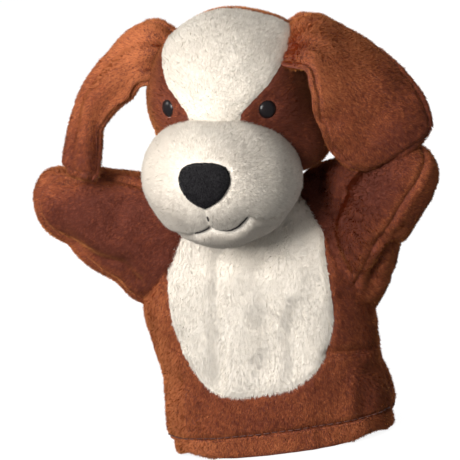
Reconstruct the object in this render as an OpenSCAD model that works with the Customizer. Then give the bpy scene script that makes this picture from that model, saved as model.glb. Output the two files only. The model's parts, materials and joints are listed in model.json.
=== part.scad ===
// Plush dog glove puppet. The cloth body stands on its hem, a hand goes in from below,
// one finger goes up into the head and one into each arm. The paws hold up the two ears.
// Sides are the puppet's own: its left is +X, its face looks along -Y, and +Z is up.
// The origin is the centre of the opening, on the surface that the hem stands on.

/* [Body] */
// Height of the shoulders above the hem's lower edge
body_h = 145; // [142:1:146]
// Width across the hem
hem_w = 133; // [128:1:138]
// Depth of the body from front to back
body_d = 76; // [72:1:80]
// Height of the turned-up hem
hem_h = 13; // [9:1:16]
// Thickness of the plush cloth
cloth = 2.4; // [2:0.1:2.8]

/* [Head] */
// Radius of the skull
skull_r = 50; // [48:0.5:51]
// Turn of the head to the puppet's right, in degrees
head_turn = 6; // [0:1:10]
// Bow of the head, in degrees
head_bow = 7; // [4:1:8]
// Tilt of the head towards its left ear, in degrees
head_tilt = 7; // [4:1:9]
// Bore that the finger goes through
finger_d = 26; // [22:1:27]

/* [Face] */
// Half width of the muzzle
muzzle_w = 45; // [43:0.5:46]
// Half depth of the muzzle
muzzle_d = 42; // [40:0.5:43]
// Half height of the muzzle
muzzle_h = 39; // [38:0.5:40]
// Width of the nose
nose_w = 30; // [26:1:32]
// How far the nose stands out of the muzzle
nose_out = 5; // [3:0.5:6]
// Diameter of an eye
eye_d = 10.5; // [9.5:0.5:13]

/* [Limbs] */
// Thickness of one layer of an ear
ear_cloth = 1.8; // [1.2:0.1:2.2]
// Gap between an arm and its armhole
joint_gap = 1; // [0.8:0.1:1.2]
// How far an arm swings back, in degrees
swing_back = 15; // [5:1:20]
// How far an arm swings forward, in degrees
swing_forward = 35; // [10:1:35]

/* [Hidden] */

brown = "#a35c37";
brown_back = "#8a4b2f";
white = "#f0e8da";
black = "#25232a";

big = 400;              // side of the blocks that cut shapes in two
fit = 0.1;              // gap between stuffing and cloth
corner = 2 / 2.4;       // exponent that makes the body's rings a little square
ring_n = 48;            // points around the body

// Body: part of the height above the hem, part of the width, part of the depth
body_rings = [[0, 1, 1], [0.12, 0.98, 1], [0.28, 0.945, 0.96], [0.44, 0.945, 0.95],
    [0.58, 0.99, 0.94], [0.7, 1, 0.86], [0.8, 0.9, 0.7], [0.88, 0.75, 0.55],
    [0.95, 0.58, 0.42], [1, 0.42, 0.34]];

// White patch: two rows of round corners, [half distance, height, radius]
patch_low = [9, 71, 36];
patch_high = [8, 116, 34];

// Neck: the head and the body both clear a ball about the point where the head pivots
neck_at = [0, -4, 157];
neck_r = 19;
neck_gap = 0.7;
neck_floor = 12;        // the ball is cut level this far below its centre
throat_r = 26;          // the head is hollow this far round the neck, so that it can bow
skull_from_neck = [0, -7, 50];

muzzle_half = [muzzle_w, muzzle_d, muzzle_h];
muzzle_at = [0, -38, -36];      // from the skull's centre
chin_z = -58;                   // seam between the muzzle and the chin
crown_y = 6;                    // seam between the face and the back of the head
// Edge of the white blaze, from the muzzle up to the crown, [half width, height]
blaze = [[14, -14], [15, 2], [20, 9], [30, 20], [36, 34], [37, 60]];

eye_side = 37.5;                // degrees round from the nose
eye_up = 5;
post_r = 1.6;
post_l = 8;
eye_dome = 4;
eye_rim = 0.8;
eye_gap = 0.05;                 // between the cloth and the button
washer_r = 6.5;
washer_h = 1.5;
washer_sink = 1.1;              // a flat washer sits this far below the round cloth

nose_top = [8.5, -21, 6.5];     // round corners, [half distance, height, radius]
nose_low = [0, -33.5, 5.5];
thread = 1.2;
stitch_h = 0.8;
mouth_r = 9;
mouth_z = -50;

pocket_wall = 1.5;
pocket_z = [-28, 20];

// Arms: a round base, then further rounds that the sleeve is drawn over, [centre, radii]
arm_left = [[[64, 0, 116], [29, 29, 31]], [[79, -25, 111], [23, 23, 27]],
    [[95, -26, 136], [20, 18, 19]]];
arm_right = [[[-64, 0, 127], [29, 29, 33]], [[-97, -12, 149], [24, 19, 20]]];
arm_open_x = 46;                // the base is open inwards from here

// Ears: the upper and the lower edge, from the crown to the held end
ear_left_upper = [[42, -12, 250], [58, -14, 250], [76, -18, 243], [94, -22, 229],
    [109, -26, 209], [118, -29, 187], [116, -31, 172]];
ear_left_lower = [[38, -60, 229], [50, -59, 214], [60, -53, 194], [66, -48, 178],
    [77, -43, 166], [94, -38, 160], [106, -34, 163]];
ear_right_upper = [[-22, -16, 254], [-38, -13, 255], [-59, -12, 242], [-77, -14, 225],
    [-89, -16, 203], [-95, -18, 186], [-95, -19, 175]];
ear_right_lower = [[-41, -30, 229], [-51, -26, 219], [-61, -25, 209], [-69, -25, 199],
    [-72, -25, 188], [-76, -24, 178], [-80, -22, 173]];
ear_left_belly = 7;
ear_right_belly = 6;
ear_m = 6;                      // strips across an ear

function ring(half_w, half_d, z) = [for (i = [0:ring_n - 1])
    let (c = cos(360 * i / ring_n), s = sin(360 * i / ring_n))
    [half_w * sign(c) * pow(abs(c), corner), half_d * sign(s) * pow(abs(s), corner), z]];

function outline(inset) = [for (p = ring(hem_w / 2 - inset, body_d / 2 - inset, 0)) [p.x, p.y]];

// One solid through level rings, closed below and above
module loft(rings) {
    n = len(rings[0]);
    last = len(rings) - 1;
    walls = [for (k = [0:last - 1], i = [0:n - 1]) let (j = (i + 1) % n)
        each [[k * n + i, (k + 1) * n + i, (k + 1) * n + j], [k * n + i, (k + 1) * n + j, k * n + j]]];
    polyhedron([for (r = rings) each r],
        concat(walls, [[for (i = [0:n - 1]) i]], [[for (i = [n - 1:-1:0]) last * n + i]]));
}

// Points across an ear between its two edges, bulging forwards by belly
function ear_grid(upper, lower, belly) = [for (i = [0:len(upper) - 1]) [for (j = [0:ear_m])
    let (u = j / ear_m)
    upper[i] * (1 - u) + lower[i] * u + [0, -4 * belly * u * (1 - u), 0]]];

function grid_normal(g, i, j) =
    let (along = g[min(i + 1, len(g) - 1)][j] - g[max(i - 1, 0)][j],
         across = g[i][min(j + 1, ear_m)] - g[i][max(j - 1, 0)],
         n = cross(along, across))
    n / norm(n);

function grid_shifted(g, by) = [for (i = [0:len(g) - 1]) [for (j = [0:ear_m])
    g[i][j] + by * grid_normal(g, i, j)]];

// One layer of cloth between two grids of the same size
module layer(near, far) {
    rows = len(near);
    cols = len(near[0]);
    half = rows * cols;
    quads = [for (i = [0:rows - 2], j = [0:cols - 2])
        let (a = i * cols + j, b = a + 1, c = a + cols + 1, d = a + cols) [a, b, c, d]];
    rim = concat([for (j = [0:cols - 1]) j], [for (i = [1:rows - 1]) i * cols + cols - 1],
        [for (j = [cols - 2:-1:0]) (rows - 1) * cols + j], [for (i = [rows - 2:-1:1]) i * cols]);
    polyhedron([for (g = [near, far]) for (row = g) each row],
        concat(
            [for (q = quads) each [[q[2], q[1], q[0]], [q[3], q[2], q[0]]]],
            [for (q = quads) each [[q[0] + half, q[1] + half, q[2] + half],
                [q[0] + half, q[2] + half, q[3] + half]]],
            [for (k = [0:len(rim) - 1]) let (a = rim[k], b = rim[(k + 1) % len(rim)])
                each [[a + half, a, b], [b + half, a + half, b]]]));
}

// Soft shapes cut from each other, kept as one closed skin
module sewn() { resize([0, 0, 0]) children(); }

module in_front_of(at, turn) {
    translate(at) rotate([0, 0, turn]) translate([-big / 2, -big, -big / 2]) cube(big);
}

module behind(at, turn) {
    translate(at) rotate([0, 0, turn]) translate([-big / 2, 0, -big / 2]) cube(big);
}

module egg(half, inset, fn) {
    scale([half.x - inset, half.y - inset, half.z - inset]) sphere(1, $fn = fn);
}

module rounded(low, high) {
    hull() for (c = [low, high], side = [-1, 1])
        translate([side * c[0], c[1]]) circle(c[2], $fn = 40);
}

// ---- body ----

module body_form(inset) {
    rise = body_h - hem_h;
    loft([for (k = [0:len(body_rings) - 1]) let (r = body_rings[k],
            z = k == 0 && inset > 0 ? hem_h - 1
              : k == len(body_rings) - 1 ? body_h - inset : hem_h + r[0] * rise)
        ring(hem_w / 2 * r[1] - inset, body_d / 2 * r[2] - inset, z)]);
}

module patch_prism() {
    rotate([90, 0, 0]) linear_extrude(body_d) rounded(patch_low, patch_high);
}

// Everything that an arm passes through as it swings
module arm_room(arm) {
    steps = 5;
    side = sign(arm[0][0].x);
    for (k = [0:steps]) translate(arm[0][0])
        rotate([0, 0, side * (swing_back - (swing_back + swing_forward) * k / steps)])
            translate(-arm[0][0]) arm_form(arm, -joint_gap);
}

module neck_room() { translate(neck_at) sphere(neck_r + neck_gap, $fn = 32); }

module body_shell() {
    difference() {
        body_form(0);
        body_form(cloth);
        arm_room(arm_left);
        arm_room(arm_right);
        neck_room();
    }
}

module torso_front() {
    color(brown) sewn() difference() {
        intersection() {
            body_shell();
            in_front_of([0, 0, 0], 0);
        }
        patch_prism();
    }
}

module torso_back() {
    color(brown_back) sewn() intersection() {
        body_shell();
        behind([0, 0, 0], 0);
    }
}

module tummy_patch() {
    color(white) sewn() intersection() {
        body_shell();
        patch_prism();
    }
}

module hem_band() {
    color(brown) linear_extrude(hem_h) difference() {
        polygon(outline(0));
        polygon(outline(2 * cloth));
    }
}

module hem_thread() {
    color(brown_back) translate([0, 0, hem_h - thread]) linear_extrude(stitch_h) difference() {
        polygon(outline(-stitch_h));
        polygon(outline(0));
    }
}

// ---- neck ----

module neck_sleeve() {
    color(brown_back) translate(neck_at) difference() {
        sphere(neck_r, $fn = 48);
        cylinder(h = 3 * neck_r, d = finger_d, center = true, $fn = 48);
        translate([-neck_r, -neck_r, -3 * neck_r]) cube([2 * neck_r, 2 * neck_r, 3 * neck_r - neck_floor]);
    }
}

// ---- head ----

module in_head() {
    translate(neck_at) rotate([0, 0, -head_turn]) rotate([head_bow, 0, 0])
        rotate([0, head_tilt, 0]) translate(skull_from_neck) children();
}

module muzzle_form(inset) { translate(muzzle_at) egg(muzzle_half, inset, 40); }

module neck_room_in_head() { translate(-skull_from_neck) sphere(throat_r, $fn = 32); }

// Places a piece on the skull where an eye is, with its axis pointing outwards
module at_eye(side) {
    rotate([0, 0, side * eye_side]) rotate([90 - eye_up, 0, 0]) children();
}

module eye_holes(r) {
    for (side = [-1, 1]) at_eye(side) cylinder(h = skull_r + 5, r = r, $fn = 16);
}

module skull_shell() {
    difference() {
        sphere(skull_r, $fn = 40);
        sphere(skull_r - cloth, $fn = 40);
        muzzle_form(0);
        neck_room_in_head();
        eye_holes(post_r + fit);
    }
}

module blaze_prism() {
    mirrored = [for (k = [len(blaze) - 1:-1:0]) [-blaze[k][0], blaze[k][1]]];
    translate([0, crown_y, 0]) rotate([90, 0, 0]) linear_extrude(big)
        polygon(concat(blaze, mirrored));
}

module forehead_blaze() {
    color(white) in_head() sewn() intersection() {
        skull_shell();
        blaze_prism();
    }
}

module head_side(side) {
    color(brown) in_head() sewn() difference() {
        intersection() {
            skull_shell();
            in_front_of([0, crown_y, 0], 0);
        }
        blaze_prism();
        translate([side > 0 ? -big : 0, -big / 2, -big / 2]) cube(big);
    }
}

module head_side_left() { head_side(1); }

module head_side_right() { head_side(-1); }

module head_back() {
    color(brown_back) in_head() sewn() intersection() {
        skull_shell();
        behind([0, crown_y, 0], 0);
    }
}

module muzzle_shell() {
    difference() {
        muzzle_form(0);
        muzzle_form(cloth);
        sphere(skull_r, $fn = 40);
        neck_room_in_head();
    }
}

module muzzle_half_panel(side) {
    color(white) in_head() sewn() intersection() {
        muzzle_shell();
        translate([side > 0 ? 0 : -big, -big / 2, chin_z]) cube(big);
    }
}

module muzzle_left() { muzzle_half_panel(1); }

module muzzle_right() { muzzle_half_panel(-1); }

module chin() {
    color(white) in_head() sewn() intersection() {
        muzzle_shell();
        translate([-big / 2, -big / 2, chin_z - big]) cube(big);
    }
}

module on_muzzle(out) {
    intersection() {
        difference() {
            muzzle_form(-out);
            muzzle_form(0);
        }
        translate([0, muzzle_at.y, 0]) rotate([90, 0, 0]) linear_extrude(big) children();
    }
}

module nose() {
    color(black) in_head() sewn() on_muzzle(nose_out) scale([nose_w / 30, 1, 1])
        rounded(nose_low, nose_top);
}

module mouth_line() {
    for (side = [-1, 1]) translate([side * mouth_r, mouth_z]) intersection() {
        difference() {
            circle(mouth_r + thread / 2, $fn = 40);
            circle(mouth_r - thread / 2, $fn = 40);
        }
        translate([-2 * mouth_r, -2 * mouth_r]) square([4 * mouth_r, 2 * mouth_r]);
    }
    low = nose_low[1] - nose_low[2];
    translate([-thread / 2, mouth_z - thread]) square([thread, low - mouth_z + thread - fit]);
}

module mouth_thread() { color(black) in_head() sewn() on_muzzle(thread / 2) mouth_line(); }

// A domed button on a post that passes through the cloth
module eye(side) {
    r = eye_d / 2;
    arc = [for (t = [0:15:75]) [r * cos(t), eye_rim + (eye_dome - eye_rim) * sin(t)]];
    color(black) in_head() at_eye(side) translate([0, 0, skull_r + eye_gap]) rotate_extrude($fn = 32)
        polygon(concat([[0, -post_l], [post_r, -post_l], [post_r, 0], [r, 0]], arc, [[0, eye_dome]]));
}

module eye_left() { eye(1); }

module eye_right() { eye(-1); }

module eye_washer(side) {
    color(white) in_head() at_eye(side)
        translate([0, 0, skull_r - cloth - washer_sink - washer_h]) difference() {
            cylinder(h = washer_h, r = washer_r, $fn = 32);
            translate([0, 0, -1]) cylinder(h = washer_h + 2, r = post_r + fit, $fn = 32);
        }
}

module eye_washer_left() { eye_washer(1); }

module eye_washer_right() { eye_washer(-1); }

module head_stuffing() {
    eye_room = skull_r - cloth - washer_sink - washer_h - fit;
    color(white) in_head() sewn() difference() {
        union() {
            sphere(skull_r - cloth - fit, $fn = 40);
            muzzle_form(cloth + fit);
        }
        for (side = [-1, 1]) at_eye(side) translate([0, 0, eye_room])
            cylinder(h = 20, r = washer_r + fit, $fn = 24);
        for (side = [-1, 1]) at_eye(side) translate([0, 0, skull_r - post_l - 0.5])
            cylinder(h = 20, r = post_r + fit, $fn = 16);
        translate([skull_from_neck.x, -skull_from_neck.y, -skull_r])
            cylinder(h = skull_r + pocket_z[1] + fit, r = finger_d / 2 + pocket_wall + fit, $fn = 32);
        neck_room_in_head();
    }
}

module finger_pocket() {
    color(white) in_head() translate([0, -skull_from_neck.y, pocket_z[0]]) difference() {
        cylinder(h = pocket_z[1] - pocket_z[0], r = finger_d / 2 + pocket_wall, $fn = 48);
        translate([0, 0, -1])
            cylinder(h = pocket_z[1] - pocket_z[0] - pocket_wall + 1, r = finger_d / 2, $fn = 48);
    }
}

// ---- arms ----

module arm_form(arm, inset) {
    hull() for (part = arm) translate(part[0]) egg(part[1], inset, 26);
}

function arm_yaw(arm) = let (d = arm[len(arm) - 1][0] - arm[0][0])
    atan2(d.y, d.x) + (d.x < 0 ? 180 : 0);

module arm_shell(arm) {
    side = sign(arm[0][0].x);
    difference() {
        arm_form(arm, 0);
        arm_form(arm, cloth);
        translate([side > 0 ? arm_open_x - big : -arm_open_x, -big / 2, -big / 2]) cube(big);
    }
}

module arm_front(arm) {
    color(brown) sewn() intersection() {
        arm_shell(arm);
        in_front_of(arm[0][0], arm_yaw(arm));
    }
}

module arm_back(arm) {
    color(brown_back) sewn() intersection() {
        arm_shell(arm);
        behind(arm[0][0], arm_yaw(arm));
    }
}

module arm_left_front() { arm_front(arm_left); }

module arm_left_back() { arm_back(arm_left); }

module arm_right_front() { arm_front(arm_right); }

module arm_right_back() { arm_back(arm_right); }

// ---- ears ----

module ear_layer(upper, lower, belly, from, to) {
    g = ear_grid(upper, lower, belly);
    layer(grid_shifted(g, from), grid_shifted(g, to));
}

module ear_left_outer() {
    color(brown) ear_layer(ear_left_upper, ear_left_lower, ear_left_belly, 0, ear_cloth);
}

module ear_left_inner() {
    color(brown_back) ear_layer(ear_left_upper, ear_left_lower, ear_left_belly, -ear_cloth, 0);
}

module ear_right_outer() {
    color(brown) ear_layer(ear_right_upper, ear_right_lower, ear_right_belly, -ear_cloth, 0);
}

module ear_right_inner() {
    color(brown_back) ear_layer(ear_right_upper, ear_right_lower, ear_right_belly, 0, ear_cloth);
}

torso_front();
torso_back();
tummy_patch();
hem_band();
hem_thread();
neck_sleeve();
forehead_blaze();
head_side_left();
head_side_right();
head_back();
muzzle_left();
muzzle_right();
chin();
nose();
mouth_thread();
eye_left();
eye_right();
eye_washer_left();
eye_washer_right();
head_stuffing();
finger_pocket();
arm_left_front();
arm_left_back();
arm_right_front();
arm_right_back();
ear_left_outer();
ear_left_inner();
ear_right_outer();
ear_right_inner();
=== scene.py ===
"""Plush dog glove puppet: the looks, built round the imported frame.

Shapes are worked out in millimetres in the frame's own axes (+X the puppet's left, -Y forwards,
+Z up) and turned into metres when a mesh is made. Each plush panel is cut from one smooth
surface, has a groove along its seams, and carries a pile of short blades of its own.
"""

import json
import math

import bmesh
import bpy
import numpy as np
from mathutils import Matrix, Vector


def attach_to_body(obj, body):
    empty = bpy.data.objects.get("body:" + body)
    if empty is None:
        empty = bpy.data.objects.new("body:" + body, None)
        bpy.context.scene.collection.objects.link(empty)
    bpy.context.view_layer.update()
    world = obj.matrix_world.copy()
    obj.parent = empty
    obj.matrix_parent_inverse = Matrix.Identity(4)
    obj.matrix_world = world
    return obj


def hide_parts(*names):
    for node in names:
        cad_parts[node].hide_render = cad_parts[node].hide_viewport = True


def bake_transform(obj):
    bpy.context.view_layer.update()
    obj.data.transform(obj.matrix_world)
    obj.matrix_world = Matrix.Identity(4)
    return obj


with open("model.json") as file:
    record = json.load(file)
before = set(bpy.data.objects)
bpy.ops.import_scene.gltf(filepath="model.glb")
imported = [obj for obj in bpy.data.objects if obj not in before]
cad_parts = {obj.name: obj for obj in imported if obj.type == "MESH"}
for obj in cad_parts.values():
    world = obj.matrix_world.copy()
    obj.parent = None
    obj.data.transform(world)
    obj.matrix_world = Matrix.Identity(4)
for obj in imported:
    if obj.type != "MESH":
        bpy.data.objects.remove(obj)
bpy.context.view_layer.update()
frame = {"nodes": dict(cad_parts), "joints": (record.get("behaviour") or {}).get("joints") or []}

MM = 0.001
RNG = np.random.default_rng(7)

# -------- places

JOINTS = {j["name"]: j for j in frame["joints"]}
NECK = np.array(JOINTS["head_nod"]["pos_m"]) / MM

HEAD_TURN, HEAD_BOW, HEAD_TILT = -6, 7, 7  # degrees about Z, X and Y
SKULL_FROM_NECK = np.array([1.2, -7, 49])
SKULL_R = 48.6
THROAT_R = 25  # the hollow in the head round the neck
MUZZLE_AT = np.array([0, -38, -36])  # from the skull's centre
MUZZLE_HALF = np.array([44, 41, 38])
CROWN_Y = 6  # the seam behind the face
EYE_SIDE, EYE_UP = 37.5, 5  # degrees from straight ahead


def turn(axis, degrees):
    return np.array(Matrix.Rotation(math.radians(degrees), 3, axis))


HEAD = turn("Z", HEAD_TURN) @ turn("X", HEAD_BOW) @ turn("Y", HEAD_TILT)
SKULL = NECK + HEAD @ SKULL_FROM_NECK


def in_head(points):
    """Points given from the skull's centre along the head's own axes, in the frame."""
    return points @ HEAD.T + SKULL


# -------- number tools

def length_of(v):
    return np.linalg.norm(v, axis=-1)


def unit(v):
    return v / np.maximum(np.linalg.norm(v, axis=-1, keepdims=True), 1e-9)


def smooth(t):
    """An even step from 0 to 1 while t goes from 0 to 1."""
    t = np.clip(t, 0, 1)
    return t * t * (3 - 2 * t)


def hump(distance, width):
    """1 where distance is 0, and almost 0 beyond twice the width."""
    return np.exp(-(distance / width) ** 2)


def ripple(points, size, seed, waves=10):
    """Smooth noise from about -1 to 1, with waves about size millimetres long."""
    rng = np.random.default_rng(seed)
    k = unit(rng.normal(size=(waves, 3))) * rng.uniform(0.7, 1.5, (waves, 1)) * 2 * math.pi / size
    return np.sin(points @ k.T + rng.uniform(0, 2 * math.pi, waves)).sum(-1) * 0.9 / math.sqrt(waves)


def circle(sides):
    """Angles evenly round a circle."""
    return np.linspace(0, 2 * math.pi, sides, endpoint=False)


def along(points, t):
    """Points of a smooth curve through the given ones, for t from 0 to 1."""
    q = np.asarray(points, float)
    s = np.clip(np.asarray(t, float), 0, 1) * (len(q) - 1)
    i = np.minimum(s.astype(int), len(q) - 2)
    f = (s - i)[:, None]
    q = np.vstack([2 * q[0] - q[1], q, 2 * q[-1] - q[-2]])
    a, b, c, d = (q[i + n] for n in range(4))
    return 0.5 * (2 * b + (c - a) * f + (2 * a - 5 * b + 4 * c - d) * f ** 2
                  + (3 * b - a - 3 * c + d) * f ** 3)


def to_polyline(points, line):
    """How far each 2-D point is from a line through the given points."""
    line = np.asarray(line, float)
    best = np.full(len(points), 1e9)
    for a, b in zip(line[:-1], line[1:]):
        d = b - a
        t = np.clip((points - a) @ d / (d @ d), 0, 1)
        best = np.minimum(best, length_of(points - a - t[:, None] * d))
    return best


def inside_outline(points, outline):
    """Distance to a closed outline, positive inside it."""
    ring = np.vstack([outline, outline[:1]])
    odd = np.zeros(len(points), bool)
    for a, b in zip(ring[:-1], ring[1:]):
        crosses = (a[1] > points[:, 1]) != (b[1] > points[:, 1])
        x = a[0] + (points[:, 1] - a[1]) * (b[0] - a[0]) / (b[1] - a[1] if b[1] != a[1] else 1e-9)
        odd ^= crosses & (points[:, 0] < x)
    return np.where(odd, 1, -1) * to_polyline(points, ring)


# -------- surfaces

def grid_faces(rows, cols, wrap=False):
    """Triangles over a grid of points, closed round its columns if wrap is true."""
    i, j = np.meshgrid(np.arange(rows - 1), np.arange(cols if wrap else cols - 1), indexing="ij")
    a, b = i * cols + j, i * cols + (j + 1) % cols
    a, b = a.ravel(), b.ravel()
    return np.vstack([np.stack([a, b, b + cols], 1), np.stack([a, b + cols, a + cols], 1)])


def capped_faces(rows, cols):
    """Triangles over a tube of points with a flat cap at each end."""
    rim = np.arange(1, cols - 1)
    near = np.stack([rim, rim + 1, 0 * rim], 1)
    far = near[:, [1, 0, 2]] + (rows - 1) * cols
    return np.vstack([grid_faces(rows, cols, wrap=True), near, far])


def sleeve(bottom, top, rows, cols, place):
    """An open tube, where place gives the points for heights and angles."""
    z, angle = np.meshgrid(np.linspace(bottom, top, rows), circle(cols), indexing="ij")
    return place(z, angle).reshape(-1, 3), grid_faces(rows, cols, wrap=True)


def crosses_of(verts, tris):
    """Each face's normal, twice as long as its area."""
    a, b, c = (verts[tris[:, k]] for k in range(3))
    return np.cross(b - a, c - a)


def normals_of(verts, tris):
    face = crosses_of(verts, tris)
    n = np.stack([sum(np.bincount(tris[:, k], face[:, c], len(verts)) for k in range(3))
                  for c in range(3)], 1)
    return unit(n)


def ball(subdivisions):
    """An even mesh of the unit sphere."""
    bm = bmesh.new()
    bmesh.ops.create_icosphere(bm, subdivisions=subdivisions, radius=1)
    verts = np.array([v.co for v in bm.verts])
    tris = np.array([[v.index for v in f.verts] for f in bm.faces])
    bm.free()
    return unit(verts), tris


def cut(surface, field):
    """The part of a surface where field is positive, with a clean edge where it is 0.
    A surface is (points, triangles); a point's first three numbers are its place, and the
    others are values that go with it."""
    data, tris = surface
    field = np.where(np.abs(field) < 1e-4, 1e-4, field)
    keep = field[tris] > 0
    count = keep.sum(1)

    def rolled(n):
        chosen = tris[count == n]
        first = keep[count == n].argmax(1) if n == 1 else (keep[count == n].argmin(1) + 1) % 3
        return [chosen[np.arange(len(chosen)), (first + k) % 3] for k in range(3)]

    a1, b1, c1 = rolled(1)  # only a is kept
    a2, b2, c2 = rolled(2)  # only c is cut off
    edges = np.concatenate([np.stack(e, 1) for e in ((a1, b1), (a1, c1), (b2, c2), (a2, c2))])
    edges.sort(axis=1)
    unique, where = np.unique(edges, axis=0, return_inverse=True)
    where = where.ravel() + len(data)
    t = field[unique[:, 0]] / (field[unique[:, 0]] - field[unique[:, 1]])
    made = data[unique[:, 0]] + t[:, None] * (data[unique[:, 1]] - data[unique[:, 0]])
    ab, ac, bc, ca = np.split(where, np.cumsum([len(a1), len(a1), len(a2)]))
    new = np.vstack([tris[count == 3], np.stack([a1, ab, ac], 1),
                     np.stack([a2, b2, bc], 1), np.stack([a2, bc, ca], 1)])
    used, new = np.unique(new, return_inverse=True)
    return np.vstack([data, made])[used], new.reshape(-1, 3)


def split(surface, column):
    """The part of a surface where a column of its values is positive, and the other part."""
    field = surface[0][:, column]
    return cut(surface, field), cut(surface, -field)


def rim_edges(tris):
    """Edges on the border of a surface, in the direction that its faces run."""
    e = np.vstack([tris[:, [0, 1]], tris[:, [1, 2]], tris[:, [2, 0]]])
    n = tris.max() + 1
    return e[~np.isin(e[:, 0] * n + e[:, 1], e[:, 1] * n + e[:, 0])]


def thick(verts, tris, inward):
    """A closed shape: the surface, the same moved inward, and a wall along the rim."""
    n = len(verts)
    a, b = rim_edges(tris).T
    walls = np.vstack([np.stack([b, a, a + n], 1), np.stack([b, a + n, b + n], 1)])
    return np.vstack([verts, verts + inward]), np.vstack([tris, tris[:, ::-1] + n, walls])


def joined(parts):
    """Several shapes as one list of points and one of triangles."""
    offsets = np.cumsum([0] + [len(v) for v, _ in parts[:-1]])
    return np.vstack([v for v, _ in parts]), np.vstack([t + o for (_, t), o in zip(parts, offsets)])


def link(name, data):
    thing = bpy.data.objects.new(name, data)
    bpy.context.collection.objects.link(thing)
    return thing


def remeshed(parts, voxel, relax):
    """One even skin round several closed shapes that overlap."""
    verts, tris = joined(parts)
    mesh = bpy.data.meshes.new("blank")
    mesh.from_pydata((verts * MM).tolist(), [], tris.tolist())
    blank = link("blank", mesh)
    blank.modifiers.new("skin", "REMESH").voxel_size = voxel * MM
    relaxed = blank.modifiers.new("relax", "SMOOTH")
    relaxed.iterations = relax
    relaxed.factor = 0.6
    blank.modifiers.new("tris", "TRIANGULATE")
    done = blank.evaluated_get(bpy.context.evaluated_depsgraph_get()).to_mesh()
    out = np.zeros(len(done.vertices) * 3)
    done.vertices.foreach_get("co", out)
    faces = np.zeros(len(done.polygons) * 3, int)
    done.polygons.foreach_get("vertices", faces)
    bpy.data.objects.remove(blank)
    return out.reshape(-1, 3) / MM, faces.reshape(-1, 3)


# -------- materials

BUMP_DEPTH = 0.0006  # metres
MATERIAL = {}
CLOTH_SLOT = {"brown": "brown_plush", "white": "white_plush", "black": "black_felt"}


def tuned(node, **values):
    """A node with its inputs set. An input's name has _ for each space."""
    for name, value in values.items():
        node.inputs[name.replace("_", " ")].default_value = value
    return node


def shade(name, roughness, colour, **inputs):
    """A plain material."""
    material = bpy.data.materials.new(name)
    material.use_nodes = True
    tuned(material.node_tree.nodes["Principled BSDF"], Base_Color=(*colour, 1), Roughness=roughness,
          **inputs)
    return material


def speckle(name, roughness, colour, colours, scale, bump, bump_scale, stretch=(1, 1, 1),
            rough=None, **inputs):
    """A material with noise in its colour, surface and, if rough gives a range, its roughness."""
    material = shade(name, roughness, colour, **inputs)
    nodes, links = material.node_tree.nodes, material.node_tree.links
    shader = nodes["Principled BSDF"]
    where = nodes.new("ShaderNodeTexCoord")
    place = tuned(nodes.new("ShaderNodeMapping"), Scale=stretch)
    links.new(where.outputs["Object"], place.inputs["Vector"])
    coarse = tuned(nodes.new("ShaderNodeTexNoise"), Scale=scale, Detail=5)
    fine = tuned(nodes.new("ShaderNodeTexNoise"), Scale=bump_scale, Detail=3)
    for noise in (coarse, fine):
        links.new(place.outputs["Vector"], noise.inputs["Vector"])
    ramp = nodes.new("ShaderNodeValToRGB")
    for stop, position, tone in zip(ramp.color_ramp.elements, (0.3, 0.72), colours):
        stop.position, stop.color = position, (*tone, 1)
    links.new(coarse.outputs["Fac"], ramp.inputs["Fac"])
    links.new(ramp.outputs["Color"], shader.inputs["Base Color"])
    relief = tuned(nodes.new("ShaderNodeBump"), Strength=bump, Distance=BUMP_DEPTH)
    links.new(fine.outputs["Fac"], relief.inputs["Height"])
    links.new(relief.outputs["Normal"], shader.inputs["Normal"])
    if rough:
        spread = tuned(nodes.new("ShaderNodeMapRange"), To_Min=rough[0], To_Max=rough[1])
        links.new(coarse.outputs["Fac"], spread.inputs["Value"])
        links.new(spread.outputs["Result"], shader.inputs["Roughness"])
    MATERIAL[name] = material


def srgb(*colour):
    """A colour given as 0 to 255 on screen, as light."""
    c = np.array(colour) / 255
    return tuple(np.where(c < 0.04045, c / 12.92, ((c + 0.055) / 1.055) ** 2.4))


# From dark to pale
BROWN_TONES = [srgb(94, 46, 35), srgb(121, 60, 41), srgb(144, 76, 47), srgb(164, 92, 57),
               srgb(184, 109, 69)]
WHITE_TONES = [srgb(212, 203, 191), srgb(223, 215, 203), srgb(232, 225, 213), srgb(243, 236, 225)]
BLACK_TONES = [srgb(14, 13, 16), srgb(20, 18, 22), srgb(29, 27, 31)]


def tones(name, colours, sheen, tint):
    """One material for each tone of a pile's blades."""
    MATERIAL[name] = [shade(f"{name}_{n}", 0.85, c, Sheen_Weight=sheen, Sheen_Roughness=0.45,
                            Sheen_Tint=(*tint, 1), Specular_IOR_Level=0.15)
                      for n, c in enumerate(colours)]


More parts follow.
